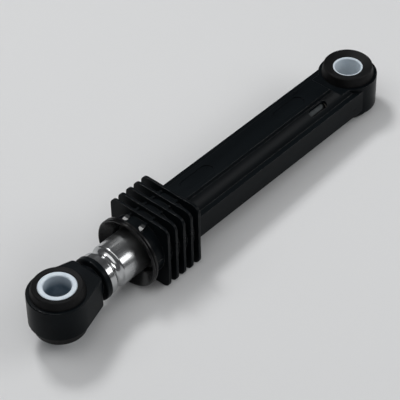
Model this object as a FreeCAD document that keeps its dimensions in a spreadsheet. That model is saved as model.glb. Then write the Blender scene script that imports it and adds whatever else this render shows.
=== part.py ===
import FreeCAD, Part
import math
import os
import Sketcher

# Telescopic friction damper of a washing machine, lying on its side with both eye bores upright.
# The origin is the centre of the housing's eye. The rod's eye lies on -X. Lengths are millimetres.

SIZES = (
    # Both eyes
    ("eye_spacing", 185.0),
    ("eye_thick", 15.2),
    ("eye_hole", 19.0),
    ("eye_edge", 0.4),
    ("head_wall", 3.8),
    ("rod_eye_wall", 3.6),
    # Nylon sleeve
    ("pin_bore", 11.6),
    ("sleeve_wall", 0.9),
    ("flange_lip", 1.5),
    ("flange_thick", 1.6),
    ("flange_reach", 10.8),
    ("plain_reach", 10.8),
    ("lead_in", 0.4),
    # Rubber bush
    ("collar_over", 1.2),
    ("collar_flare", 0.9),
    ("collar_reach", 11.3),
    ("collar_dish", 0.5),
    ("boot_over", 1.6),
    ("boot_flare", 0.8),
    ("boot_reach", 12.2),
    ("boot_dish", 1.4),
    ("bush_rim", 0.5),
    # Fits
    ("seat_gap", 0.03),
    ("run_gap", 0.06),
    ("free_gap", 0.3),
    # Rod, its eye and its piston guide
    ("rod_dia", 19.4),
    ("rod_wall", 1.0),
    ("stem_place", 14.6),
    ("stem_half", 8.75),
    ("stem_corner", 2.0),
    ("stem_neck", 14.6),
    ("stem_gap", 1.2),
    ("stem_collar", 2.4),
    ("stem_lip", 0.4),
    ("rod_edge", 0.3),
    ("spigot_long", 12.0),
    ("spigot_wall", 3.4),
    ("crimp_place", 5.7),
    ("crimp_deep", 1.7),
    ("crimp_roll", 2.4),
    ("crimp_bend", 0.8),
    ("guide_plug", 20.0),
    ("guide_band", 2.0),
    ("guide_crimp_place", 15.0),
    ("guide_crimp_deep", 0.8),
    ("guide_crimp_roll", 1.3),
    ("closing_travel", 1.5),
    # Housing tube and rails
    ("neck_root", 2.0),
    ("body_end", 14.9),
    ("bore_floor", 20.5),
    ("bore_gap", 0.65),
    ("tube_wall", 1.15),
    ("rail_rise", 0.9),
    ("rail_wide", 10.8),
    ("side_rise", 1.1),
    ("side_thick", 11.3),
    ("land_long", 14.8),
    # Finned mouth
    ("mouth_place", 142.5),
    ("collar_long", 5.0),
    ("core_wall", 1.5),
    ("fin_count", 5),
    ("fin_pitch", 4.62),
    ("fin_thick", 1.2),
    ("fin_reach", 2.3),
    ("fin_round", 3.5),
    ("rib_place", 4.4),
    ("rib_thick", 1.2),
    ("rib_drop", 2.1),
    ("rib_nose", 0.9),
    ("rib_setback", 0.5),
    ("latch_wide", 2.4),
    ("latch_long", 0.3),
    ("latch_ramp", 3.3),
    ("latch_drop", 1.0),
    # Marks and vents on the rails and the tube
    ("pill_long", 18.6),
    ("pill_wide", 6.4),
    ("pill_deep", 0.4),
    ("pill_near", 41.6),
    ("pill_far", 101.8),
    ("slot_long", 11.5),
    ("slot_wide", 2.6),
    ("slot_place", 30.2),
    ("slot_side", 7.2),
    # End cap, liner and guide bush
    ("cap_lip", 2.3),
    ("cap_flange", 2.4),
    ("cap_edge", 0.4),
    ("cap_groove", 0.9),
    ("cap_groove_deep", 0.7),
    ("cap_step", 1.2),
    ("cap_step_in", 0.1),
    ("cap_rim", 0.8),
    ("cap_dish", 2.4),
    ("cap_dish_in", 2.4),
    ("cap_plug", 4.0),
    ("cap_plug_wall", 1.1),
    ("cap_throat", 3.6),
    ("snap_place", 2.2),
    ("snap_wide", 1.2),
    ("snap_rise", 0.3),
    ("liner_thick", 2.6),
    ("liner_long", 11.7),
    ("liner_slit", 1.0),
    ("bush_long", 6.2),
    ("bush_edge", 0.5),
)

# Radii and places that follow from the sizes
EYE_HALF = "(Sizes.eye_thick / 2)"
HOLE_R = "(Sizes.eye_hole / 2)"
HEAD_R = "(Sizes.eye_hole / 2 + Sizes.head_wall)"
ROD_EYE_R = "(Sizes.eye_hole / 2 + Sizes.rod_eye_wall)"
PIN_R = "(Sizes.pin_bore / 2)"
SLEEVE_R = f"({PIN_R} + Sizes.sleeve_wall)"
FLANGE_R = f"({SLEEVE_R} + Sizes.flange_lip)"
FLANGE_SEAT = "(Sizes.flange_reach - Sizes.flange_thick)"
STEM_LEAN = f"(({ROD_EYE_R} - Sizes.stem_half) / Sizes.stem_place)"
STEM_END = f"(Sizes.stem_place + Sizes.stem_half * {STEM_LEAN})"
ROD_R = "(Sizes.rod_dia / 2)"
ROD_IN_R = f"({ROD_R} - Sizes.rod_wall)"
COLLAR_START = f"({STEM_END} + Sizes.stem_gap)"
COLLAR_END = f"({COLLAR_START} + Sizes.stem_collar)"
ROD_START = f"({COLLAR_END} + Sizes.seat_gap)"
GUIDE_FACE = ("(Sizes.eye_spacing - Sizes.bore_floor - Sizes.closing_travel"
              " - Sizes.free_gap - Sizes.guide_band)")
ROD_END = f"({GUIDE_FACE} - Sizes.free_gap)"
EYE_CRIMP = (f"({ROD_START} + Sizes.crimp_place)", "Sizes.crimp_deep", "Sizes.crimp_roll")
GUIDE_CRIMP = (f"({ROD_END} - Sizes.guide_crimp_place)", "Sizes.guide_crimp_deep", "Sizes.guide_crimp_roll")
BORE_R = f"({ROD_R} + Sizes.bore_gap)"
LAND_R = f"({ROD_R} + Sizes.free_gap)"
TUBE_R = f"({BORE_R} + Sizes.tube_wall)"
RAIL_HALF = f"({TUBE_R} + Sizes.rail_rise)"
SIDE_HALF = f"({TUBE_R} + Sizes.side_rise)"
CHAMBER_R = f"({ROD_R} + Sizes.run_gap + Sizes.liner_thick + Sizes.seat_gap)"
CORE_R = f"({CHAMBER_R} + Sizes.core_wall)"
FIN_HALF = f"({CORE_R} + Sizes.fin_reach)"
RIB_HALF = f"({FIN_HALF} - Sizes.rib_drop)"
CHAMBER_FLOOR = ("(Sizes.mouth_place - Sizes.cap_plug - Sizes.liner_long"
                 " - Sizes.bush_long - 3 * Sizes.seat_gap)")
CORE_END = f"({CHAMBER_FLOOR} - Sizes.core_wall)"
STOP_PLACE = f"({CHAMBER_FLOOR} - Sizes.land_long)"
FIRST_FIN = "(Sizes.mouth_place - Sizes.collar_long - Sizes.fin_thick)"
LAST_FIN = f"({FIRST_FIN} - (Sizes.fin_count - 1) * Sizes.fin_pitch)"

FULL_TURN = 360
HALF_TURN = 180
SAME_PLACE = 1e-3
X_AXIS = FreeCAD.Vector(1, 0, 0)
Z_AXIS = FreeCAD.Vector(0, 0, 1)
ORIGIN = FreeCAD.Vector(0, 0, 0)

doc = FreeCAD.newDocument("friction_damper")
sheet = doc.addObject("Spreadsheet::Sheet", "Sizes")
for row, (alias, value) in enumerate(SIZES, 1):
    sheet.set(f"A{row}", alias)
    sheet.set(f"B{row}", str(value))
    sheet.setAlias(f"B{row}", alias)
doc.recompute()

bodies = []


# Bodies and sketches

def new_body(label, at_rod_eye=False, turned_about=None):
    """An empty body at the housing's eye, or at the rod's eye, turned by half a turn if asked."""
    body = doc.addObject("PartDesign::Body", label)
    body.Label = label
    if turned_about:
        body.Placement = FreeCAD.Placement(ORIGIN, FreeCAD.Rotation(turned_about, HALF_TURN))
    if at_rod_eye:
        body.setExpression("Placement.Base.x", "-Sizes.eye_spacing")
    bodies.append(body)
    return body


def new_sketch(body, name, role, offset=None):
    """An empty sketch on one of the body's own origin planes, moved along its normal if asked."""
    sketch = body.newObject("Sketcher::SketchObject", f"{body.Label}_{name}")
    support = next(item for item in body.Origin.OriginFeatures if item.Role == role)
    sketch.AttachmentSupport = (support, "")
    sketch.MapMode = "FlatFace"
    if offset:
        sketch.setExpression("AttachmentOffset.Base.z", offset)
    return sketch


def bind(sketch, kind, geometry, formula, start_value):
    """One dimension of the sketch, driven by a formula on the sheet."""
    index = sketch.addConstraint(Sketcher.Constraint(kind, *geometry, start_value))
    sketch.setExpression(f"Constraints[{index}]", formula)


def place_point(sketch, geometry, point, across, along):
    """Puts a point of the sketch at two formulas; a plain "0" lays it on the axis."""
    for kind, formula, axis in (("DistanceX", across, -2), ("DistanceY", along, -1)):
        if formula == "0":
            sketch.addConstraint(Sketcher.Constraint("PointOnObject", geometry, point, axis))
        else:
            bind(sketch, kind, (-1, 1, geometry, point), formula, 1.0)


def draw_corners(sketch, points):
    """A closed outline with straight sides through points given as pairs of formulas."""
    first = sketch.GeometryCount
    count = len(points)
    turn = [2 * math.pi * index / count for index in range(count)]
    ring = [FreeCAD.Vector(math.cos(angle), math.sin(angle), 0) for angle in turn]
    for index in range(count):
        sketch.addGeometry(Part.LineSegment(ring[index], ring[(index + 1) % count]), False)
    for index, (across, along) in enumerate(points):
        here = first + index
        after = first + (index + 1) % count
        sketch.addConstraint(Sketcher.Constraint("Coincident", here, 2, after, 1))
        place_point(sketch, here, 1, across, along)


def draw_disc(sketch, radius, across="0", along="0"):
    """A circle of the given radius."""
    circle = sketch.addGeometry(Part.Circle(ORIGIN, Z_AXIS, 1.0), False)
    place_point(sketch, circle, 3, across, along)
    bind(sketch, "Radius", (circle,), radius, 1.0)


def draw_rounded_square(sketch, half, corner):
    """A square on the sketch's centre with rounded corners."""
    reach, radius = 3.0, 1.0
    inner = reach - radius
    quarter = math.pi / 2
    lines = []
    arcs = []
    for index in range(4):
        spin = FreeCAD.Rotation(Z_AXIS, 90 * index)
        ends = [spin.multVec(FreeCAD.Vector(reach, side * inner, 0)) for side in (-1, 1)]
        lines.append(sketch.addGeometry(Part.LineSegment(*ends), False))
        circle = Part.Circle(spin.multVec(FreeCAD.Vector(inner, inner, 0)), Z_AXIS, radius)
        arcs.append(sketch.addGeometry(
            Part.ArcOfCircle(circle, quarter * index, quarter * (index + 1)), False))
    for index in range(4):
        after = lines[(index + 1) % 4]
        sketch.addConstraint(Sketcher.Constraint("Tangent", lines[index], 2, arcs[index], 1))
        sketch.addConstraint(Sketcher.Constraint("Tangent", arcs[index], 2, after, 1))
        level = "Horizontal" if index % 2 else "Vertical"
        sketch.addConstraint(Sketcher.Constraint(level, lines[index]))
    for arc in arcs[1:]:
        sketch.addConstraint(Sketcher.Constraint("Equal", arcs[0], arc))
    bind(sketch, "Radius", (arcs[0],), corner, radius)
    for line, kind, sign in zip(lines, ("DistanceX", "DistanceY") * 2, ("", "", "-", "-")):
        bind(sketch, kind, (-1, 1, line, 1), f"{sign}{half}", reach)


def draw_obround(sketch, across, along, length, width):
    """A slot outline with round ends, its length along the sketch's first axis."""
    half, radius = 2.0, 1.0
    upright = math.pi / 2
    ends = []
    for side, start in ((1, -upright), (-1, upright)):
        circle = Part.Circle(FreeCAD.Vector(side * half, 0, 0), Z_AXIS, radius)
        ends.append(sketch.addGeometry(Part.ArcOfCircle(circle, start, start + math.pi), False))
    sides = []
    for side in (1, -1):
        run = [FreeCAD.Vector(end * side * half, side * radius, 0) for end in (1, -1)]
        sides.append(sketch.addGeometry(Part.LineSegment(*run), False))
    loop = (ends[0], sides[0], ends[1], sides[1])
    for here, after in zip(loop, loop[1:] + loop[:1]):
        sketch.addConstraint(Sketcher.Constraint("Tangent", here, 2, after, 1))
    sketch.addConstraint(Sketcher.Constraint("Equal", *ends))
    bind(sketch, "Radius", (ends[0],), f"{width} / 2", radius)
    place_point(sketch, ends[0], 3, f"{across} + ({length} - {width}) / 2", along)
    place_point(sketch, ends[1], 3, f"{across} - ({length} - {width}) / 2", along)


# Features

def add_pad(body, sketch, length, symmetric=False):
    """Material raised from a sketch."""
    pad = body.newObject("PartDesign::Pad", f"{sketch.Name}_pad")
    pad.Profile = sketch
    pad.setExpression("Length", length)
    if symmetric:
        pad.SideType = "Symmetric"
    doc.recompute()
    return pad


def must_cut(body, cut):
    """Recomputes, and stops if the cut took nothing away."""
    before = body.Tip.BaseFeature.Shape.Volume
    doc.recompute()
    if cut.Shape.isNull() or cut.Shape.Volume >= before:
        raise RuntimeError(f"{cut.Name} removes nothing")


def add_pocket(body, sketch, length, symmetric=False, upwards=False):
    """Material cut away below a sketch, on both sides of it or above it."""
    pocket = body.newObject("PartDesign::Pocket", f"{sketch.Name}_cut")
    pocket.Profile = sketch
    pocket.setExpression("Length", length)
    pocket.Reversed = upwards
    if symmetric:
        pocket.SideType = "Symmetric"
    must_cut(body, pocket)
    return pocket


def turn_profile(body, name, points, axis):
    """Material turned about an axis of the upright lengthwise plane."""
    sketch = new_sketch(body, name, "XZ_Plane")
    draw_corners(sketch, points)
    turned = body.newObject("PartDesign::Revolution", f"{sketch.Name}_turn")
    turned.Profile = sketch
    turned.ReferenceAxis = (sketch, [axis])
    turned.Angle = FULL_TURN
    doc.recompute()
    return turned


def turn_groove(body, sketch):
    """Material turned away about the damper's long axis."""
    groove = body.newObject("PartDesign::Groove", f"{sketch.Name}_groove")
    groove.Profile = sketch
    groove.ReferenceAxis = (sketch, ["H_Axis"])
    groove.Angle = FULL_TURN
    must_cut(body, groove)
    return groove


def ease_edges(body, kind, wanted, amount):
    """A fillet or a chamfer on every edge of the body that the test picks."""
    base = body.Tip
    names = [f"Edge{index}" for index, edge in enumerate(base.Shape.Edges, 1) if wanted(edge)]
    eased = body.newObject(f"PartDesign::{kind}", f"{body.Label}_{kind.lower()}")
    eased.Base = (base, names)
    eased.setExpression("Radius" if kind == "Fillet" else "Size", amount)
    doc.recompute()
    return eased


def size(alias):
    """A driving dimension as a number."""
    return float(sheet.get(alias))


def pad_disc(body, name, role, offset, radius, length):
    """A round bar from a plane across the damper."""
    sketch = new_sketch(body, name, role, offset)
    draw_disc(sketch, radius)
    return add_pad(body, sketch, length)


# Housing: eye head, railed tube and finned mouth in one moulding, measured from its own eye

def make_housing():
    body = new_body("housing", turned_about=Z_AXIS)

    head = new_sketch(body, "head", "XY_Plane")
    draw_disc(head, HEAD_R)
    add_pad(body, head, "Sizes.eye_thick", symmetric=True)

    tube_long = f"{CHAMBER_FLOOR} - Sizes.neck_root"
    pad_disc(body, "tube", "YZ_Plane", "Sizes.neck_root", TUBE_R, tube_long)
    for name, across, along in (("rails", "Sizes.rail_wide / 2", RAIL_HALF),
                                ("side_rails", SIDE_HALF, "Sizes.side_thick / 2")):
        rails = new_sketch(body, name, "YZ_Plane", "Sizes.neck_root")
        draw_corners(rails, ((f"-({across})", f"-({along})"), (across, f"-({along})"),
                             (across, along), (f"-({across})", along)))
        add_pad(body, rails, tube_long)

    slope_top = f"({RAIL_HALF} + Sizes.rail_rise)"
    slope_end = f"(Sizes.body_end + {slope_top} - {EYE_HALF})"
    for name, sign in (("upper_slope", ""), ("lower_slope", "-")):
        slope = new_sketch(body, name, "XZ_Plane")
        draw_corners(slope, (("Sizes.neck_root", f"{sign}{EYE_HALF}"),
                             ("Sizes.body_end", f"{sign}{EYE_HALF}"),
                             (slope_end, f"{sign}{slope_top}"),
                             ("Sizes.neck_root", f"{sign}{slope_top}")))
        add_pocket(body, slope, f"4 * {SIDE_HALF}", symmetric=True)

    pad_disc(body, "core", "YZ_Plane", CORE_END, CORE_R, f"Sizes.mouth_place - {CORE_END}")
    add_fins(body)
    add_ribs(body)
    bore_out(body)

    hole = new_sketch(body, "eye_hole", "XY_Plane")
    draw_disc(hole, HOLE_R)
    add_pocket(body, hole, "2 * Sizes.eye_thick", symmetric=True)
    cut_marks(body)


def add_fins(body):
    """Square cooling fins in a row from the mouth collar back."""
    outline = new_sketch(body, "fin", "YZ_Plane", FIRST_FIN)
    draw_rounded_square(outline, FIN_HALF, "Sizes.fin_round")
    fin = add_pad(body, outline, "Sizes.fin_thick")
    row = body.newObject("PartDesign::LinearPattern", "fin_row")
    row.Originals = [fin]
    row.Direction = (outline, ["N_Axis"])
    row.Reversed = True
    row.setExpression("Length", "(Sizes.fin_count - 1) * Sizes.fin_pitch")
    row.setExpression("Occurrences", "Sizes.fin_count")
    body.Tip = row
    doc.recompute()


def add_ribs(body):
    """Ribs along the fins' roots, one each side and two up; the upper ones end in wider latch ramps."""
    nose = "(Sizes.mouth_place - Sizes.rib_setback)"
    ramp_top = "(Sizes.mouth_place - Sizes.latch_ramp)"
    latch_back = f"({ramp_top} - Sizes.latch_long)"
    side_rib = (LAST_FIN, nose, "Sizes.rib_nose", "Sizes.rib_nose", "Sizes.rib_thick")
    latch = (latch_back, "Sizes.mouth_place", "Sizes.latch_ramp", "Sizes.latch_drop", "Sizes.latch_wide")
    for name, offset in (("left_rib", "Sizes.rib_place"), ("right_rib", "-Sizes.rib_place")):
        rib = new_sketch(body, name, "XZ_Plane", offset)
        draw_corners(rib, ((LAST_FIN, f"-{RIB_HALF}"), (ramp_top, f"-{RIB_HALF}"),
                           (ramp_top, RIB_HALF), (LAST_FIN, RIB_HALF)))
        add_pad(body, rib, "Sizes.rib_thick", symmetric=True)
    for name, role, offset, (back, tip, ramp, drop, thick) in (
            ("side_rib", "XY_Plane", None, side_rib),
            ("left_latch", "XZ_Plane", "Sizes.rib_place", latch),
            ("right_latch", "XZ_Plane", "-Sizes.rib_place", latch)):
        shoulder = f"({tip} - {ramp})"
        low = f"({RIB_HALF} - {drop})"
        rib = new_sketch(body, name, role, offset)
        draw_corners(rib, ((back, f"-{RIB_HALF}"), (shoulder, f"-{RIB_HALF}"), (tip, f"-{low}"),
                           (tip, low), (shoulder, RIB_HALF), (back, RIB_HALF)))
        add_pad(body, rib, thick, symmetric=True)


def bore_out(body):
    """The stepped bore: travel bore, rod land, liner chamber with its snap groove, open mouth."""
    snap_mid = "(Sizes.mouth_place - Sizes.snap_place)"
    snap_half = "(Sizes.snap_wide / 2 + Sizes.seat_gap)"
    snap_r = f"({CHAMBER_R} + Sizes.snap_rise)"
    out = "(Sizes.mouth_place + Sizes.cap_step)"
    bore = new_sketch(body, "bore", "XZ_Plane")
    draw_corners(bore, (
        ("Sizes.bore_floor", "0"), ("Sizes.bore_floor", BORE_R),
        (STOP_PLACE, BORE_R), (STOP_PLACE, LAND_R),
        (CHAMBER_FLOOR, LAND_R), (CHAMBER_FLOOR, CHAMBER_R),
        (f"{snap_mid} - {snap_half}", CHAMBER_R), (f"{snap_mid} - {snap_half}", snap_r),
        (f"{snap_mid} + {snap_half}", snap_r), (f"{snap_mid} + {snap_half}", CHAMBER_R),
        (out, CHAMBER_R), (out, "0")))
    turn_groove(body, bore)


def cut_marks(body):
    """Shallow obround recesses on the upper and lower rails, and two vent slots into the bore."""
    for name, place in (("near", "Sizes.pill_near"), ("far", "Sizes.pill_far")):
        for side, sign, upwards in (("upper", "", False), ("lower", "-", True)):
            pill = new_sketch(body, f"{side}_{name}_pill", "XY_Plane", f"{sign}{RAIL_HALF}")
            draw_obround(pill, place, "0", "Sizes.pill_long", "Sizes.pill_wide")
            add_pocket(body, pill, "Sizes.pill_deep", upwards=upwards)
    for name, sign, upwards in (("upper_slot", "", True), ("lower_slot", "-", False)):
        slot = new_sketch(body, name, "XY_Plane")
        draw_obround(slot, "Sizes.slot_place", f"{sign}Sizes.slot_side",
                     "Sizes.slot_long", "Sizes.slot_wide")
        add_pocket(body, slot, RAIL_HALF, upwards=upwards)


# Pieces in the housing's mouth

def make_end_cap():
    body = new_body("end_cap", turned_about=Z_AXIS)
    inner_end = "(Sizes.mouth_place - Sizes.cap_plug)"
    throat = f"({inner_end} + Sizes.cap_throat)"
    seat = "(Sizes.mouth_place + Sizes.seat_gap)"
    back = "(Sizes.mouth_place + Sizes.cap_step)"
    front = f"({back} + Sizes.cap_flange)"
    groove = f"({back} + Sizes.cap_flange / 2)"
    plug_r = f"({CHAMBER_R} - Sizes.seat_gap)"
    throat_r = f"({plug_r} - Sizes.cap_plug_wall)"
    cap_r = f"({CORE_R} + Sizes.cap_lip)"
    step_r = f"({CORE_R} - Sizes.cap_step_in)"
    snap_r = f"({plug_r} + Sizes.snap_rise)"
    snap_mid = "(Sizes.mouth_place - Sizes.snap_place)"
    snap_in = f"{snap_mid} - Sizes.snap_wide / 2"
    snap_out = f"{snap_mid} + Sizes.snap_wide / 2"
    turn_profile(body, "shell", (
        (inner_end, throat_r), (inner_end, plug_r),
        (snap_in, plug_r), (f"{snap_in} + Sizes.snap_rise", snap_r),
        (snap_out, snap_r), (snap_out, plug_r),
        (seat, plug_r), (seat, step_r), (back, step_r), (back, cap_r),
        (f"{groove} - Sizes.cap_groove / 2", cap_r), (groove, f"{cap_r} - Sizes.cap_groove_deep"),
        (f"{groove} + Sizes.cap_groove / 2", cap_r),
        (f"{front} - Sizes.cap_edge", cap_r), (front, f"{cap_r} - Sizes.cap_edge"),
        (front, f"{cap_r} - Sizes.cap_rim"),
        (f"{front} - Sizes.cap_dish", f"{cap_r} - Sizes.cap_rim - Sizes.cap_dish_in"),
        (throat, throat_r)), "H_Axis")


def make_friction_liner():
    body = new_body("friction_liner", turned_about=Z_AXIS)
    start = f"({CHAMBER_FLOOR} + Sizes.bush_long + 2 * Sizes.seat_gap)"
    end = f"({start} + Sizes.liner_long)"
    inner = f"{ROD_R} + Sizes.run_gap"
    outer = f"{CHAMBER_R} - Sizes.seat_gap"
    turn_profile(body, "strip", ((start, inner), (end, inner), (end, outer), (start, outer)), "H_Axis")
    slit = new_sketch(body, "slit", "XY_Plane")
    draw_corners(slit, ((start, "-Sizes.liner_slit / 2"), (end, "-Sizes.liner_slit / 2"),
                        (end, "Sizes.liner_slit / 2"), (start, "Sizes.liner_slit / 2")))
    add_pocket(body, slit, CORE_R)


def make_guide_bush():
    body = new_body("guide_bush", turned_about=Z_AXIS)
    start = f"({CHAMBER_FLOOR} + Sizes.seat_gap)"
    end = f"({start} + Sizes.bush_long)"
    inner = f"({ROD_R} + Sizes.run_gap)"
    outer = f"{CHAMBER_R} - Sizes.seat_gap"
    turn_profile(body, "ring", (
        (start, f"{inner} + Sizes.bush_edge"), (f"{start} + Sizes.bush_edge", inner),
        (f"{end} - Sizes.bush_edge", inner), (end, f"{inner} + Sizes.bush_edge"),
        (end, outer), (start, outer)), "H_Axis")


# Bushes of the two eyes: the same pair of pieces, flange up at the rod and flange down at the housing

def make_eye_rubber(label, **place):
    body = new_body(label, **place)
    inner = f"({SLEEVE_R} + Sizes.seat_gap)"
    waist = f"({HOLE_R} - Sizes.seat_gap)"
    face = f"({EYE_HALF} + Sizes.seat_gap)"
    collar_r = f"({HOLE_R} + Sizes.collar_over)"
    boot_r = f"({HOLE_R} + Sizes.boot_over)"
    pocket_r = f"({FLANGE_R} + Sizes.seat_gap)"
    pocket_floor = f"({FLANGE_SEAT} - Sizes.seat_gap)"
    turn_profile(body, "bush", (
        (inner, "-Sizes.boot_reach + Sizes.boot_dish"),
        (f"{boot_r} - Sizes.bush_rim", "-Sizes.boot_reach"),
        (boot_r, "-Sizes.boot_reach + Sizes.bush_rim"),
        (f"{boot_r} + Sizes.boot_flare", f"-{face}"), (waist, f"-{face}"),
        (waist, face), (f"{collar_r} + Sizes.collar_flare", face),
        (collar_r, "Sizes.collar_reach - Sizes.bush_rim"),
        (f"{collar_r} - Sizes.bush_rim", "Sizes.collar_reach"),
        (pocket_r, "Sizes.collar_reach - Sizes.collar_dish"),
        (pocket_r, pocket_floor), (inner, pocket_floor)), "V_Axis")


def make_eye_sleeve(label, **place):
    body = new_body(label, **place)
    mouth = f"{PIN_R} + Sizes.lead_in"
    turn_profile(body, "sleeve", (
        (PIN_R, "-Sizes.plain_reach + Sizes.lead_in"), (mouth, "-Sizes.plain_reach"),
        (SLEEVE_R, "-Sizes.plain_reach"), (SLEEVE_R, FLANGE_SEAT), (FLANGE_R, FLANGE_SEAT),
        (FLANGE_R, "Sizes.flange_reach - Sizes.lead_in"),
        (f"{FLANGE_R} - Sizes.lead_in", "Sizes.flange_reach"),
        (mouth, "Sizes.flange_reach"), (PIN_R, "Sizes.flange_reach - Sizes.lead_in")), "V_Axis")


# Rod: eye with stem and spigot, crimped steel tube, piston guide in the tube's inner end

def crimp_seat(crimp, surface, gap):
    """Corner points of the groove in a plug that a crimp's inner bead lies in."""
    middle, deep, roll = crimp
    bottom = f"({ROD_IN_R} - {deep} - {gap})"
    wide = f"({roll} + {gap})"
    narrow = f"({roll} / 2 + {gap})"
    return ((f"{middle} - {wide}", surface), (f"{middle} - {narrow}", bottom),
            (f"{middle} + {narrow}", bottom), (f"{middle} + {wide}", surface))


def roll_crimp(body, name, crimp):
    """A groove rolled into the tube from outside, with the bead that it pushes up inside."""
    middle, deep, roll = crimp
    root = f"({ROD_IN_R} + Sizes.seat_gap)"
    crest = f"({ROD_IN_R} - {deep})"
    turn_profile(body, f"{name}_bead", (
        (f"{middle} - {roll}", root), (f"{middle} - {roll}", ROD_IN_R),
        (f"{middle} - {roll} / 2", crest), (f"{middle} + {roll} / 2", crest),
        (f"{middle} + {roll}", ROD_IN_R), (f"{middle} + {roll}", root)), "H_Axis")
    groove = new_sketch(body, f"{name}_roll", "XZ_Plane")
    draw_disc(groove, roll, middle, f"{ROD_R} + {roll} - {deep}")
    turn_groove(body, groove)


def is_crimp_rim(edge):
    """Picks the two rims of the tube's first groove, which follows its plain end."""
    curve = edge.Curve
    if not isinstance(curve, Part.Circle) or abs(curve.Radius - size("rod_dia") / 2) > SAME_PLACE:
        return False
    roll = size("crimp_roll")
    half = math.sqrt(roll ** 2 - (roll - size("crimp_deep")) ** 2)
    start = min(vertex.X for vertex in doc.getObject("rod_tube").Tip.Shape.Vertexes)
    return abs(abs(curve.Center.x - start - size("crimp_place")) - half) < SAME_PLACE


def make_rod_tube():
    body = new_body("rod_tube", at_rod_eye=True)
    turn_profile(body, "wall", (
        (ROD_START, ROD_IN_R), (ROD_END, ROD_IN_R), (ROD_END, ROD_R),
        (f"{ROD_START} + Sizes.rod_edge", ROD_R), (ROD_START, f"{ROD_R} - Sizes.rod_edge")), "H_Axis")
    roll_crimp(body, "eye_crimp", EYE_CRIMP)
    ease_edges(body, "Fillet", is_crimp_rim, "Sizes.crimp_bend")
    roll_crimp(body, "guide_crimp", GUIDE_CRIMP)


def draw_stem(sketch):
    """Flanks that leave the eye's disc as tangents and draw in to the stem's flat end."""
    upright = f"sqrt(1 - {STEM_LEAN}^2)"
    near = (f"{ROD_EYE_R} * {STEM_LEAN}", f"{ROD_EYE_R} * {upright}")
    far = (STEM_END, f"Sizes.stem_half * {upright}")
    draw_corners(sketch, (near, far, (far[0], f"-{far[1]}"), (near[0], f"-{near[1]}")))


def is_stem_corner(edge):
    """Picks the upright edges at the stem's flat end."""
    first, last = edge.Vertexes[0], edge.Vertexes[-1]
    upright = abs(abs(first.Z - last.Z) - size("eye_thick")) < SAME_PLACE
    return upright and min(first.X, last.X) > size("stem_place")


def is_face_edge(edge):
    """Picks the edges round the two flat faces of the rod's eye."""
    half = size("eye_thick") / 2
    heights = [vertex.Z for vertex in edge.Vertexes] + [edge.CenterOfMass.z]
    return all(abs(abs(height) - half) < SAME_PLACE for height in heights)


def make_rod_eye():
    body = new_body("rod_eye", at_rod_eye=True)
    head = new_sketch(body, "head", "XY_Plane")
    draw_disc(head, ROD_EYE_R)
    add_pad(body, head, "Sizes.eye_thick", symmetric=True)
    stem = new_sketch(body, "stem", "XY_Plane")
    draw_stem(stem)
    add_pad(body, stem, "Sizes.eye_thick", symmetric=True)
    ease_edges(body, "Fillet", is_stem_corner, "Sizes.stem_corner")
    ease_edges(body, "Chamfer", is_face_edge, "Sizes.eye_edge")

    plug_r = f"({ROD_IN_R} - Sizes.seat_gap)"
    core_r = f"({plug_r} - Sizes.spigot_wall)"
    neck_r = "Sizes.stem_neck / 2"
    collar_r = f"({ROD_R} + Sizes.stem_lip)"
    root = f"({STEM_END} - Sizes.stem_corner)"
    end = f"({ROD_START} + Sizes.spigot_long)"
    turn_profile(body, "spigot", [
        (root, core_r), (root, neck_r), (COLLAR_START, neck_r),
        (COLLAR_START, f"{collar_r} - Sizes.eye_edge"), (f"{COLLAR_START} + Sizes.eye_edge", collar_r),
        (COLLAR_END, collar_r), (COLLAR_END, plug_r),
        *crimp_seat(EYE_CRIMP, plug_r, "Sizes.seat_gap"), (end, plug_r), (end, core_r)], "H_Axis")
    hole = new_sketch(body, "eye_hole", "XY_Plane")
    draw_disc(hole, HOLE_R)
    add_pocket(body, hole, "2 * Sizes.eye_thick", symmetric=True)


def make_piston_guide():
    body = new_body("piston_guide", at_rod_eye=True)
    plug_r = f"({ROD_IN_R} - Sizes.run_gap)"
    core_r = f"({plug_r} - Sizes.spigot_wall)"
    band_r = f"({BORE_R} - Sizes.run_gap)"
    start = f"({ROD_END} - Sizes.guide_plug)"
    end = f"({GUIDE_FACE} + Sizes.guide_band)"
    seat = crimp_seat(GUIDE_CRIMP, plug_r, "Sizes.free_gap")
    turn_profile(body, "plug", [(start, core_r), (start, plug_r), *seat, (GUIDE_FACE, plug_r),
                                (GUIDE_FACE, band_r), (end, band_r), (end, core_r)], "H_Axis")


def check_and_write():
    """Stops on any failed feature or bad solid, then writes one file for each body."""
    doc.recompute()
    failed = [item.Name for item in doc.Objects if {"Invalid", "Error"} & set(item.State)]
    failed += [body.Label for body in bodies if body.Shape.isNull() or not body.Shape.isValid()]
    failed += [body.Label for body in bodies if len(body.Shape.Solids) != 1]
    if failed:
        raise RuntimeError(f"failed: {failed}")
    os.makedirs("parts", exist_ok=True)
    for body in bodies:
        body.Shape.exportStep(f"parts/{body.Label}.step")
        box = body.Shape.BoundBox
        print(f"{body.Label:20s} {body.Shape.Volume:9.1f} mm3  x {box.XMin:.2f} {box.XMax:.2f}"
              f"  y {box.YMin:.2f} {box.YMax:.2f}  z {box.ZMin:.2f} {box.ZMax:.2f}")


make_housing()
make_end_cap()
make_friction_liner()
make_guide_bush()
make_eye_rubber("housing_eye_rubber", turned_about=X_AXIS)
make_eye_sleeve("housing_eye_sleeve", turned_about=X_AXIS)
make_rod_tube()
make_rod_eye()
make_eye_rubber("rod_eye_rubber", at_rod_eye=True)
make_eye_sleeve("rod_eye_sleeve", at_rod_eye=True)
make_piston_guide()
check_and_write()
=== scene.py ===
import math

import bpy
from mathutils import Matrix, Vector

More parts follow.
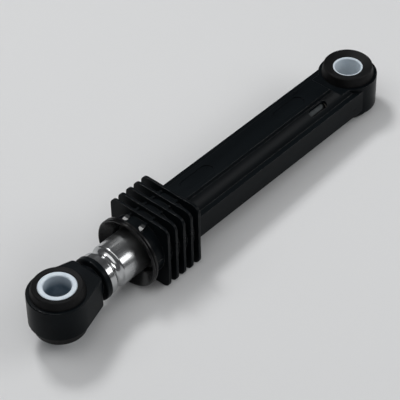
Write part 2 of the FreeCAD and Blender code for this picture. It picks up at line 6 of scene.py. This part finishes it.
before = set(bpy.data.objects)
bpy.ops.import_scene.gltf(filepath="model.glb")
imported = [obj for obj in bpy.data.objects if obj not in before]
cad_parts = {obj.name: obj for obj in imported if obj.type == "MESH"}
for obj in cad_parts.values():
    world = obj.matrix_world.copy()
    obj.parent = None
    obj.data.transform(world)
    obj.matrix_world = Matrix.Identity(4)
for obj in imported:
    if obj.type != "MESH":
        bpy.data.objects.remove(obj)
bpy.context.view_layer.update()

# Lengths are in metres in the frame of the solids: X along the rod, Z along the pins of the two eyes.
MM = 0.001

# The camera stands at the rod eye's end, above the near side.
CAMERA_PLACE = Vector((-0.527491, -0.394304, 0.531585))
CAMERA_AIM = Vector((-0.101604, -0.001242, 0.0))
CAMERA_ROLL = math.radians(-1.182)
CAMERA_LENS = 166.29
CAMERA_SENSOR = 36.0

# The absorber lies on the lower edge of its last fin and on the lower rim of its fixed eye's bush.
FIN_REST = Vector((-117.8 * MM, 0.0, -16.19 * MM))
BUSH_REST = Vector((10.2 * MM, 0.0, -11.3 * MM))
FLOOR_HALF = 3.0

# Each softbox: its direction from the absorber, how far it stands, its width and height, and its watts.
LAMP_AIM = Vector((-0.09, 0.0, 0.0))
SOFTBOXES = {
    "back_softbox": (Vector((0.10, 0.50, 0.86)), 0.90, 0.20, 0.20, 3.0),
    "side_softbox": (Vector((0.54, -0.64, 0.54)), 0.90, 0.70, 0.32, 2.6),
    "top_softbox": (Vector((-0.38, 0.00, 0.92)), 1.00, 1.60, 0.80, 5.0),
}
WORLD_GREY = (0.10, 0.102, 0.105, 1.0)

# Middle between the two eyes, and half the length between them.
EYE_MIDDLE = -92.5 * MM
EYE_HALF = 92.5 * MM
# The sleeves: radius of the bore, half the length, and how the painted shade in the bore fades to rim and
# ends.
PIN_RADIUS = 5.8 * MM
SLEEVE_HALF = 10.8 * MM
BORE_SHADE_RIM = 0.3 * MM
BORE_SHADE_DEPTH = 6.0 * MM
# The rod is bright out to the liner, duller where it slides, and dark with old grease at its inner end.
ROD_BRIGHT_END = -156.0 * MM
ROD_DULL_START = -146.0 * MM
ROD_DULL_END = -54.0 * MM
ROD_GREASE_START = -46.0 * MM
DULL_ROUGHNESS = 0.20
# The rubbed part of the latch ramps: its middle, half its size along and across, and its range of polish.
LATCH_X = -141.2 * MM
LATCH_LONG_HALF = 0.75 * MM
LATCH_Y = 4.4 * MM
LATCH_WIDE_HALF = 1.15 * MM
LATCH_POLISH = (0.45, 0.75)
# The stretch of the rails with the sunken marks, whose edges nothing rubs, along and across.
MARKS_X = -71.7 * MM
MARKS_LONG_HALF = 45.0 * MM
MARKS_WIDE_HALF = 4.4 * MM

# Radii that soften the edges of each finish, and how finely they are worked out.
MOULDED_EDGE = 0.3 * MM
RUBBER_EDGE = 0.4 * MM
NYLON_EDGE = 0.25 * MM
EDGE_SAMPLES = 6
# Cosines of the tilt between a face and its softened edge: still flat, fully worn and fully shining.
FLAT_COSINE = 0.995
WORN_COSINE = 0.70
GLINT_COSINE = 0.92

# Nearly all of a cloudy value lies between these two.
CLOUD_LOW = 0.3
CLOUD_HIGH = 0.7
# Sockets of a mixing node: its share, its two colours, and the mixed colour that it gives.
MIX_SHARE = 0
MIX_FIRST = 6
MIX_SECOND = 7
MIX_RESULT = 2

# Colours of each finish, in its darker and its lighter patches.
BODY_BLACK = ((0.003, 0.0041, 0.0050, 1.0), (0.005, 0.0069, 0.0084, 1.0))
CAP_BLACK = ((0.003, 0.003, 0.0035, 1.0), (0.005, 0.005, 0.0055, 1.0))
# The guides' cream is darkened partly by grease and partly as painted shade.
GUIDE_GREASE_AND_SHADE = ((0.14, 0.135, 0.12, 1.0), (0.28, 0.27, 0.245, 1.0))
RUBBER_BLACK = ((0.003, 0.003, 0.0033, 1.0), (0.007, 0.0073, 0.0077, 1.0))
NYLON_WHITE = ((0.60, 0.68, 0.75, 1.0), (0.68, 0.75, 0.81, 1.0))
# Painted shade inside the sleeves' bores: the rod eye's bore and the fixed eye's bore.
ROD_BORE_SHADE = ((0.10, 0.15, 0.20, 1.0), (0.18, 0.24, 0.30, 1.0))
FIXED_BORE_SHADE = ((0.52, 0.58, 0.63, 1.0), (0.62, 0.68, 0.72, 1.0))
BRIGHT_STEEL = ((0.42, 0.43, 0.435, 1.0), (0.54, 0.545, 0.55, 1.0))
DULL_STEEL = ((0.26, 0.27, 0.275, 1.0), (0.38, 0.385, 0.385, 1.0))
OLD_GREASE = ((0.010, 0.0115, 0.012, 1.0), (0.035, 0.038, 0.039, 1.0))
FOAM_GREY = ((0.055, 0.055, 0.055, 1.0), (0.16, 0.16, 0.155, 1.0))
FLOOR_GREY = ((0.7289, 0.733825, 0.73875, 1.0), (0.74, 0.745, 0.75, 1.0))
# Colours of the mouldings' worn edges.
BODY_WORN = (0.022, 0.021, 0.020, 1.0)
CAP_WORN = (0.02, 0.02, 0.019, 1.0)
GUIDE_WORN = (0.34, 0.33, 0.30, 1.0)


class Recipe:
    """A material that is put together one node at a time."""

    def __init__(self, name):
        self.material = bpy.data.materials.new(name)
        self.material.use_nodes = True
        self.tree = self.material.node_tree
        self.surface = self.tree.nodes["Principled BSDF"]
        self.place = self.add("ShaderNodeTexCoord").outputs["Object"]
        axes = self.add("ShaderNodeSeparateXYZ")
        self.feed(axes, "Vector", self.place)
        self.x, self.y, self.z = axes.outputs

    def add(self, kind, **settings):
        """A new node with its settings."""
        node = self.tree.nodes.new(kind)
        for name, value in settings.items():
            setattr(node, name, value)
        return node

    def feed(self, node, socket, value):
        """Links an output to a socket, or sets the socket to a plain value."""
        if isinstance(value, bpy.types.NodeSocket):
            self.tree.links.new(value, node.inputs[socket])
        else:
            node.inputs[socket].default_value = value

    def noise(self, scale, detail=3.0, roughness=0.5, stretch=(1.0, 1.0, 1.0)):
        """A cloudy value from 0 to 1; stretch multiplies the scale along X, Y and Z."""
        mapping = self.add("ShaderNodeMapping")
        self.feed(mapping, "Vector", self.place)
        self.feed(mapping, "Scale", stretch)
        node = self.add("ShaderNodeTexNoise")
        self.feed(node, "Vector", mapping.outputs["Vector"])
        self.feed(node, "Scale", scale)
        self.feed(node, "Detail", detail)
        self.feed(node, "Roughness", roughness)
        return node.outputs["Fac"]

    def span(self, value, low, high, start=0.0, end=1.0):
        """Spreads a value between start and end over low to high."""
        node = self.add("ShaderNodeMapRange")
        self.feed(node, "Value", value)
        self.feed(node, "From Min", start)
        self.feed(node, "From Max", end)
        self.feed(node, "To Min", low)
        self.feed(node, "To Max", high)
        return node.outputs["Result"]

    def reckon(self, kind, *values):
        """One step of arithmetic on up to three values."""
        node = self.add("ShaderNodeMath", operation=kind)
        for index, value in enumerate(values):
            self.feed(node, index, value)
        return node.outputs["Value"]

    def zone(self, middle_x, half_x, middle_y, half_y):
        """One within a rectangle on X and Y and its mirror across the rod, and nought elsewhere."""
        across = self.reckon("ABSOLUTE", self.y)
        in_x = self.reckon("COMPARE", self.x, middle_x, half_x)
        in_y = self.reckon("COMPARE", across, middle_y, half_y)
        return self.reckon("MULTIPLY", in_x, in_y)

    def blend(self, share, first, second):
        """Mixes two colours by a share from 0 to 1."""
        node = self.add("ShaderNodeMix", data_type="RGBA")
        self.feed(node, MIX_SHARE, share)
        self.feed(node, MIX_FIRST, first)
        self.feed(node, MIX_SECOND, second)
        return node.outputs[MIX_RESULT]

    def rounded(self, radius):
        """The normal of the surface as if its edges had this radius."""
        node = self.add("ShaderNodeBevel", samples=EDGE_SAMPLES)
        self.feed(node, "Radius", radius)
        return node.outputs["Normal"]

    def edge_share(self, soft_normal, full_cosine):
        """Nought on a face, rising to one where the soft normal tilts to the full cosine."""
        true_normal = self.add("ShaderNodeNewGeometry").outputs["Normal"]
        dot = self.add("ShaderNodeVectorMath", operation="DOT_PRODUCT")
        self.feed(dot, 0, soft_normal)
        self.feed(dot, 1, true_normal)
        return self.span(dot.outputs["Value"], 1.0, 0.0, full_cosine, FLAT_COSINE)

    def bump(self, height, strength, depth, normal=None):
        """The normal of the surface with a fine relief on it."""
        node = self.add("ShaderNodeBump")
        self.feed(node, "Height", height)
        self.feed(node, "Strength", strength)
        self.feed(node, "Distance", depth)
        if normal is not None:
            self.feed(node, "Normal", normal)
        return node.outputs["Normal"]

    def finish(self, **sockets):
        """Feeds the surface's sockets and hands the material over."""
        for socket, value in sockets.items():
            self.feed(self.surface, socket.replace("_", " "), value)
        return self.material


def moulded_plastic(name, colours, worn, shine, gloss, grain):
    """A moulding with fine grain, faint flow marks along it, and edges and latches rubbed bright."""
    recipe = Recipe(name)
    soft = recipe.rounded(MOULDED_EDGE)
    flow = recipe.noise(scale=90.0, stretch=(0.25, 1.0, 1.0))
    cloud = recipe.blend(recipe.span(flow, 0.0, 1.0, CLOUD_LOW, CLOUD_HIGH), *colours)
    marks = recipe.zone(MARKS_X, MARKS_LONG_HALF, 0.0, MARKS_WIDE_HALF)
    rubbed = recipe.span(recipe.noise(scale=700.0), 0.0, 1.0, start=0.35, end=0.65)
    scuffs = recipe.reckon("MULTIPLY", rubbed, recipe.reckon("SUBTRACT", 1.0, marks))
    edges = recipe.reckon("MULTIPLY", recipe.edge_share(soft, WORN_COSINE), scuffs)
    glints = recipe.reckon("MULTIPLY", recipe.edge_share(soft, GLINT_COSINE), scuffs)
    latch = recipe.zone(LATCH_X, LATCH_LONG_HALF, LATCH_Y, LATCH_WIDE_HALF)
    polish = recipe.span(flow, *LATCH_POLISH, CLOUD_LOW, CLOUD_HIGH)
    polished = recipe.reckon("MULTIPLY", latch, polish)
    pits = recipe.noise(scale=2600.0, detail=2.0)
    return recipe.finish(
        Base_Color=recipe.blend(edges, cloud, worn),
        Roughness=recipe.span(flow, *gloss, CLOUD_LOW, CLOUD_HIGH),
        Specular_IOR_Level=shine,
        Coat_Weight=recipe.reckon("MAXIMUM", glints, polished),
        Coat_Roughness=0.14,
        Coat_Normal=soft,
        Normal=recipe.bump(pits, strength=grain, depth=0.06 * MM, normal=soft),
    )


def rubber(name):
    """Dull black rubber with a faint bloom and a soft grain."""
    recipe = Recipe(name)
    bloom = recipe.span(recipe.noise(scale=260.0, detail=5.0), 0.0, 1.0, start=0.35, end=0.75)
    grain = recipe.noise(scale=3200.0)
    soft = recipe.rounded(RUBBER_EDGE)
    return recipe.finish(
        Base_Color=recipe.blend(bloom, *RUBBER_BLACK),
        Roughness=recipe.span(bloom, 0.52, 0.66),
        Specular_IOR_Level=0.15,
        Normal=recipe.bump(grain, strength=0.25, depth=0.05 * MM, normal=soft),
    )


def nylon(name):
    """White nylon, a little cold, lit just under its skin, with turning marks and painted shade deep in
    its bore.
    """
    recipe = Recipe(name)
    cloud = recipe.span(recipe.noise(scale=300.0, detail=4.0), 0.0, 1.0, CLOUD_LOW, CLOUD_HIGH)
    from_middle = recipe.reckon("SUBTRACT", recipe.x, EYE_MIDDLE)
    from_eye = recipe.reckon("SUBTRACT", recipe.reckon("ABSOLUTE", from_middle), EYE_HALF)
    squares = [recipe.reckon("POWER", value, 2.0) for value in (from_eye, recipe.y)]
    radius = recipe.reckon("SQRT", recipe.reckon("ADD", *squares))
    depth = recipe.reckon("SUBTRACT", SLEEVE_HALF, recipe.reckon("ABSOLUTE", recipe.z))
    # Painted shade: the bore's wall darkens from its ends towards its middle.
    on_wall = recipe.span(radius, 1.0, 0.0, PIN_RADIUS, PIN_RADIUS + BORE_SHADE_RIM)
    bore_shading = recipe.reckon("MULTIPLY", on_wall, recipe.span(depth, 0.0, 1.0, 0.0, BORE_SHADE_DEPTH))
    fixed_eye = recipe.reckon("GREATER_THAN", from_middle, 0.0)
    rod_bore_shade = recipe.blend(cloud, *ROD_BORE_SHADE)
    fixed_bore_shade = recipe.blend(cloud, *FIXED_BORE_SHADE)
    bore_shade = recipe.blend(fixed_eye, rod_bore_shade, fixed_bore_shade)
    rings = recipe.noise(scale=700.0, detail=2.0, stretch=(0.15, 0.15, 3.0))
    soft = recipe.rounded(NYLON_EDGE)
    return recipe.finish(
        Base_Color=recipe.blend(bore_shading, recipe.blend(cloud, *NYLON_WHITE), bore_shade),
        Roughness=recipe.span(cloud, 0.30, 0.42),
        Subsurface_Weight=0.12,
        Subsurface_Radius=(0.8, 0.9, 1.0),
        Subsurface_Scale=1.2 * MM,
        Normal=recipe.bump(rings, strength=0.12, depth=0.04 * MM, normal=soft),
    )


def plated_steel(name):
    """Bright zinc on drawn steel: rings from rolling, and fine scratches along the stroke."""
    recipe = Recipe(name)
    patina = recipe.span(recipe.noise(scale=120.0, detail=4.0), 0.0, 1.0, start=0.35, end=0.7)
    bright = recipe.blend(patina, *BRIGHT_STEEL)
    dull = recipe.blend(patina, *DULL_STEEL)
    grease = recipe.blend(patina, *OLD_GREASE)
    worn = recipe.span(recipe.x, 0.0, 1.0, ROD_BRIGHT_END, ROD_DULL_START)
    greasy = recipe.span(recipe.x, 0.0, 1.0, ROD_DULL_END, ROD_GREASE_START)
    scratches = recipe.noise(scale=900.0, detail=4.0, roughness=0.65, stretch=(0.06, 1.0, 1.0))
    rings = recipe.noise(scale=900.0, detail=3.0, stretch=(1.0, 0.03, 0.03))
    ringed = recipe.bump(rings, strength=0.30, depth=0.03 * MM)
    scratched = recipe.span(scratches, 0.12, 0.24, CLOUD_LOW, CLOUD_HIGH)
    return recipe.finish(
        Base_Color=recipe.blend(greasy, recipe.blend(worn, bright, dull), grease),
        Metallic=1.0,
        Roughness=recipe.reckon("ADD", scratched, recipe.span(worn, 0.0, DULL_ROUGHNESS)),
        Normal=recipe.bump(scratches, strength=0.08, depth=0.02 * MM, normal=ringed),
    )


def foam(name):
    """Grey felted foam, open at its surface."""
    recipe = Recipe(name)
    cloud = recipe.noise(scale=1900.0, detail=5.0, roughness=0.7)
    cells = recipe.span(cloud, 0.0, 1.0, start=0.35, end=0.65)
    return recipe.finish(
        Base_Color=recipe.blend(cells, *FOAM_GREY),
        Roughness=recipe.span(cells, 0.95, 0.8),
        Normal=recipe.bump(cells, strength=0.7, depth=0.2 * MM),
    )


def studio_floor(name):
    """Pale matt paper."""
    recipe = Recipe(name)
    fibre = recipe.noise(scale=900.0, detail=4.0)
    return recipe.finish(
        Base_Color=recipe.blend(fibre, *FLOOR_GREY),
        Roughness=recipe.span(fibre, 0.75, 0.85),
    )


def dress_nodes():
    """Gives every solid the finish of its piece."""
    black = moulded_plastic(
        "black_plastic", BODY_BLACK, BODY_WORN, shine=0.05, gloss=(0.27, 0.38), grain=0.16)
    cap = moulded_plastic(
        "cap_plastic", CAP_BLACK, CAP_WORN, shine=0.20, gloss=(0.18, 0.30), grain=0.05)
    guide = moulded_plastic(
        "guide_plastic", GUIDE_GREASE_AND_SHADE, GUIDE_WORN, shine=0.20, gloss=(0.34, 0.46), grain=0.10)
    soft_black = rubber("bush_rubber")
    white = nylon("white_nylon")
    finishes = {
        "housing": black,
        "rod_eye": black,
        "end_cap": cap,
        "guide_bush": guide,
        "piston_guide": guide,
        "friction_liner": foam("liner_foam"),
        "housing_eye_rubber": soft_black,
        "rod_eye_rubber": soft_black,
        "housing_eye_sleeve": white,
        "rod_eye_sleeve": white,
        "rod_tube": plated_steel("plated_steel"),
    }
    for node, finish in finishes.items():
        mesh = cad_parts[node].data
        mesh.materials.clear()
        mesh.materials.append(finish)


def add_floor():
    """A wide pale floor through the two edges that the absorber lies on."""
    slope = (BUSH_REST.z - FIN_REST.z) / (BUSH_REST.x - FIN_REST.x)
    corners = []
    for side_x, side_y in ((-1, -1), (1, -1), (1, 1), (-1, 1)):
        out = side_x * FLOOR_HALF
        corners.append((FIN_REST.x + out, side_y * FLOOR_HALF, FIN_REST.z + slope * out))
    mesh = bpy.data.meshes.new("floor")
    mesh.from_pydata(corners, [], [(0, 1, 2, 3)])
    mesh.materials.append(studio_floor("studio_floor"))
    floor = bpy.data.objects.new("floor", mesh)
    bpy.context.scene.collection.objects.link(floor)


def add_lamps():
    """Three softboxes turned to the absorber, in an even grey room."""
    for name, (direction, distance, width, height, watts) in SOFTBOXES.items():
        lamp = bpy.data.lights.new(name, "AREA")
        lamp.shape = "RECTANGLE"
        lamp.size = width
        lamp.size_y = height
        lamp.energy = watts
        softbox = bpy.data.objects.new(name, lamp)
        place = LAMP_AIM + direction.normalized() * distance
        turn = (LAMP_AIM - place).to_track_quat("-Z", "Y")
        softbox.matrix_world = Matrix.Translation(place) @ turn.to_matrix().to_4x4()
        bpy.context.scene.collection.objects.link(softbox)
    world = bpy.data.worlds.new("studio")
    world.use_nodes = True
    world.node_tree.nodes["Background"].inputs["Color"].default_value = WORLD_GREY
    bpy.context.scene.world = world


def add_camera():
    """The camera that sees the absorber as the photo does."""
    lens = bpy.data.cameras.new("camera")
    lens.sensor_fit = "HORIZONTAL"
    lens.sensor_width = CAMERA_SENSOR
    lens.lens = CAMERA_LENS
    camera = bpy.data.objects.new("camera", lens)
    turn = (CAMERA_AIM - CAMERA_PLACE).to_track_quat("-Z", "Y").to_matrix().to_4x4()
    roll = Matrix.Rotation(CAMERA_ROLL, 4, "Z")
    camera.matrix_world = Matrix.Translation(CAMERA_PLACE) @ turn @ roll
    bpy.context.scene.collection.objects.link(camera)
    bpy.context.scene.camera = camera


dress_nodes()
add_floor()
add_lamps()
add_camera()
bpy.context.scene.view_settings.view_transform = "Standard"
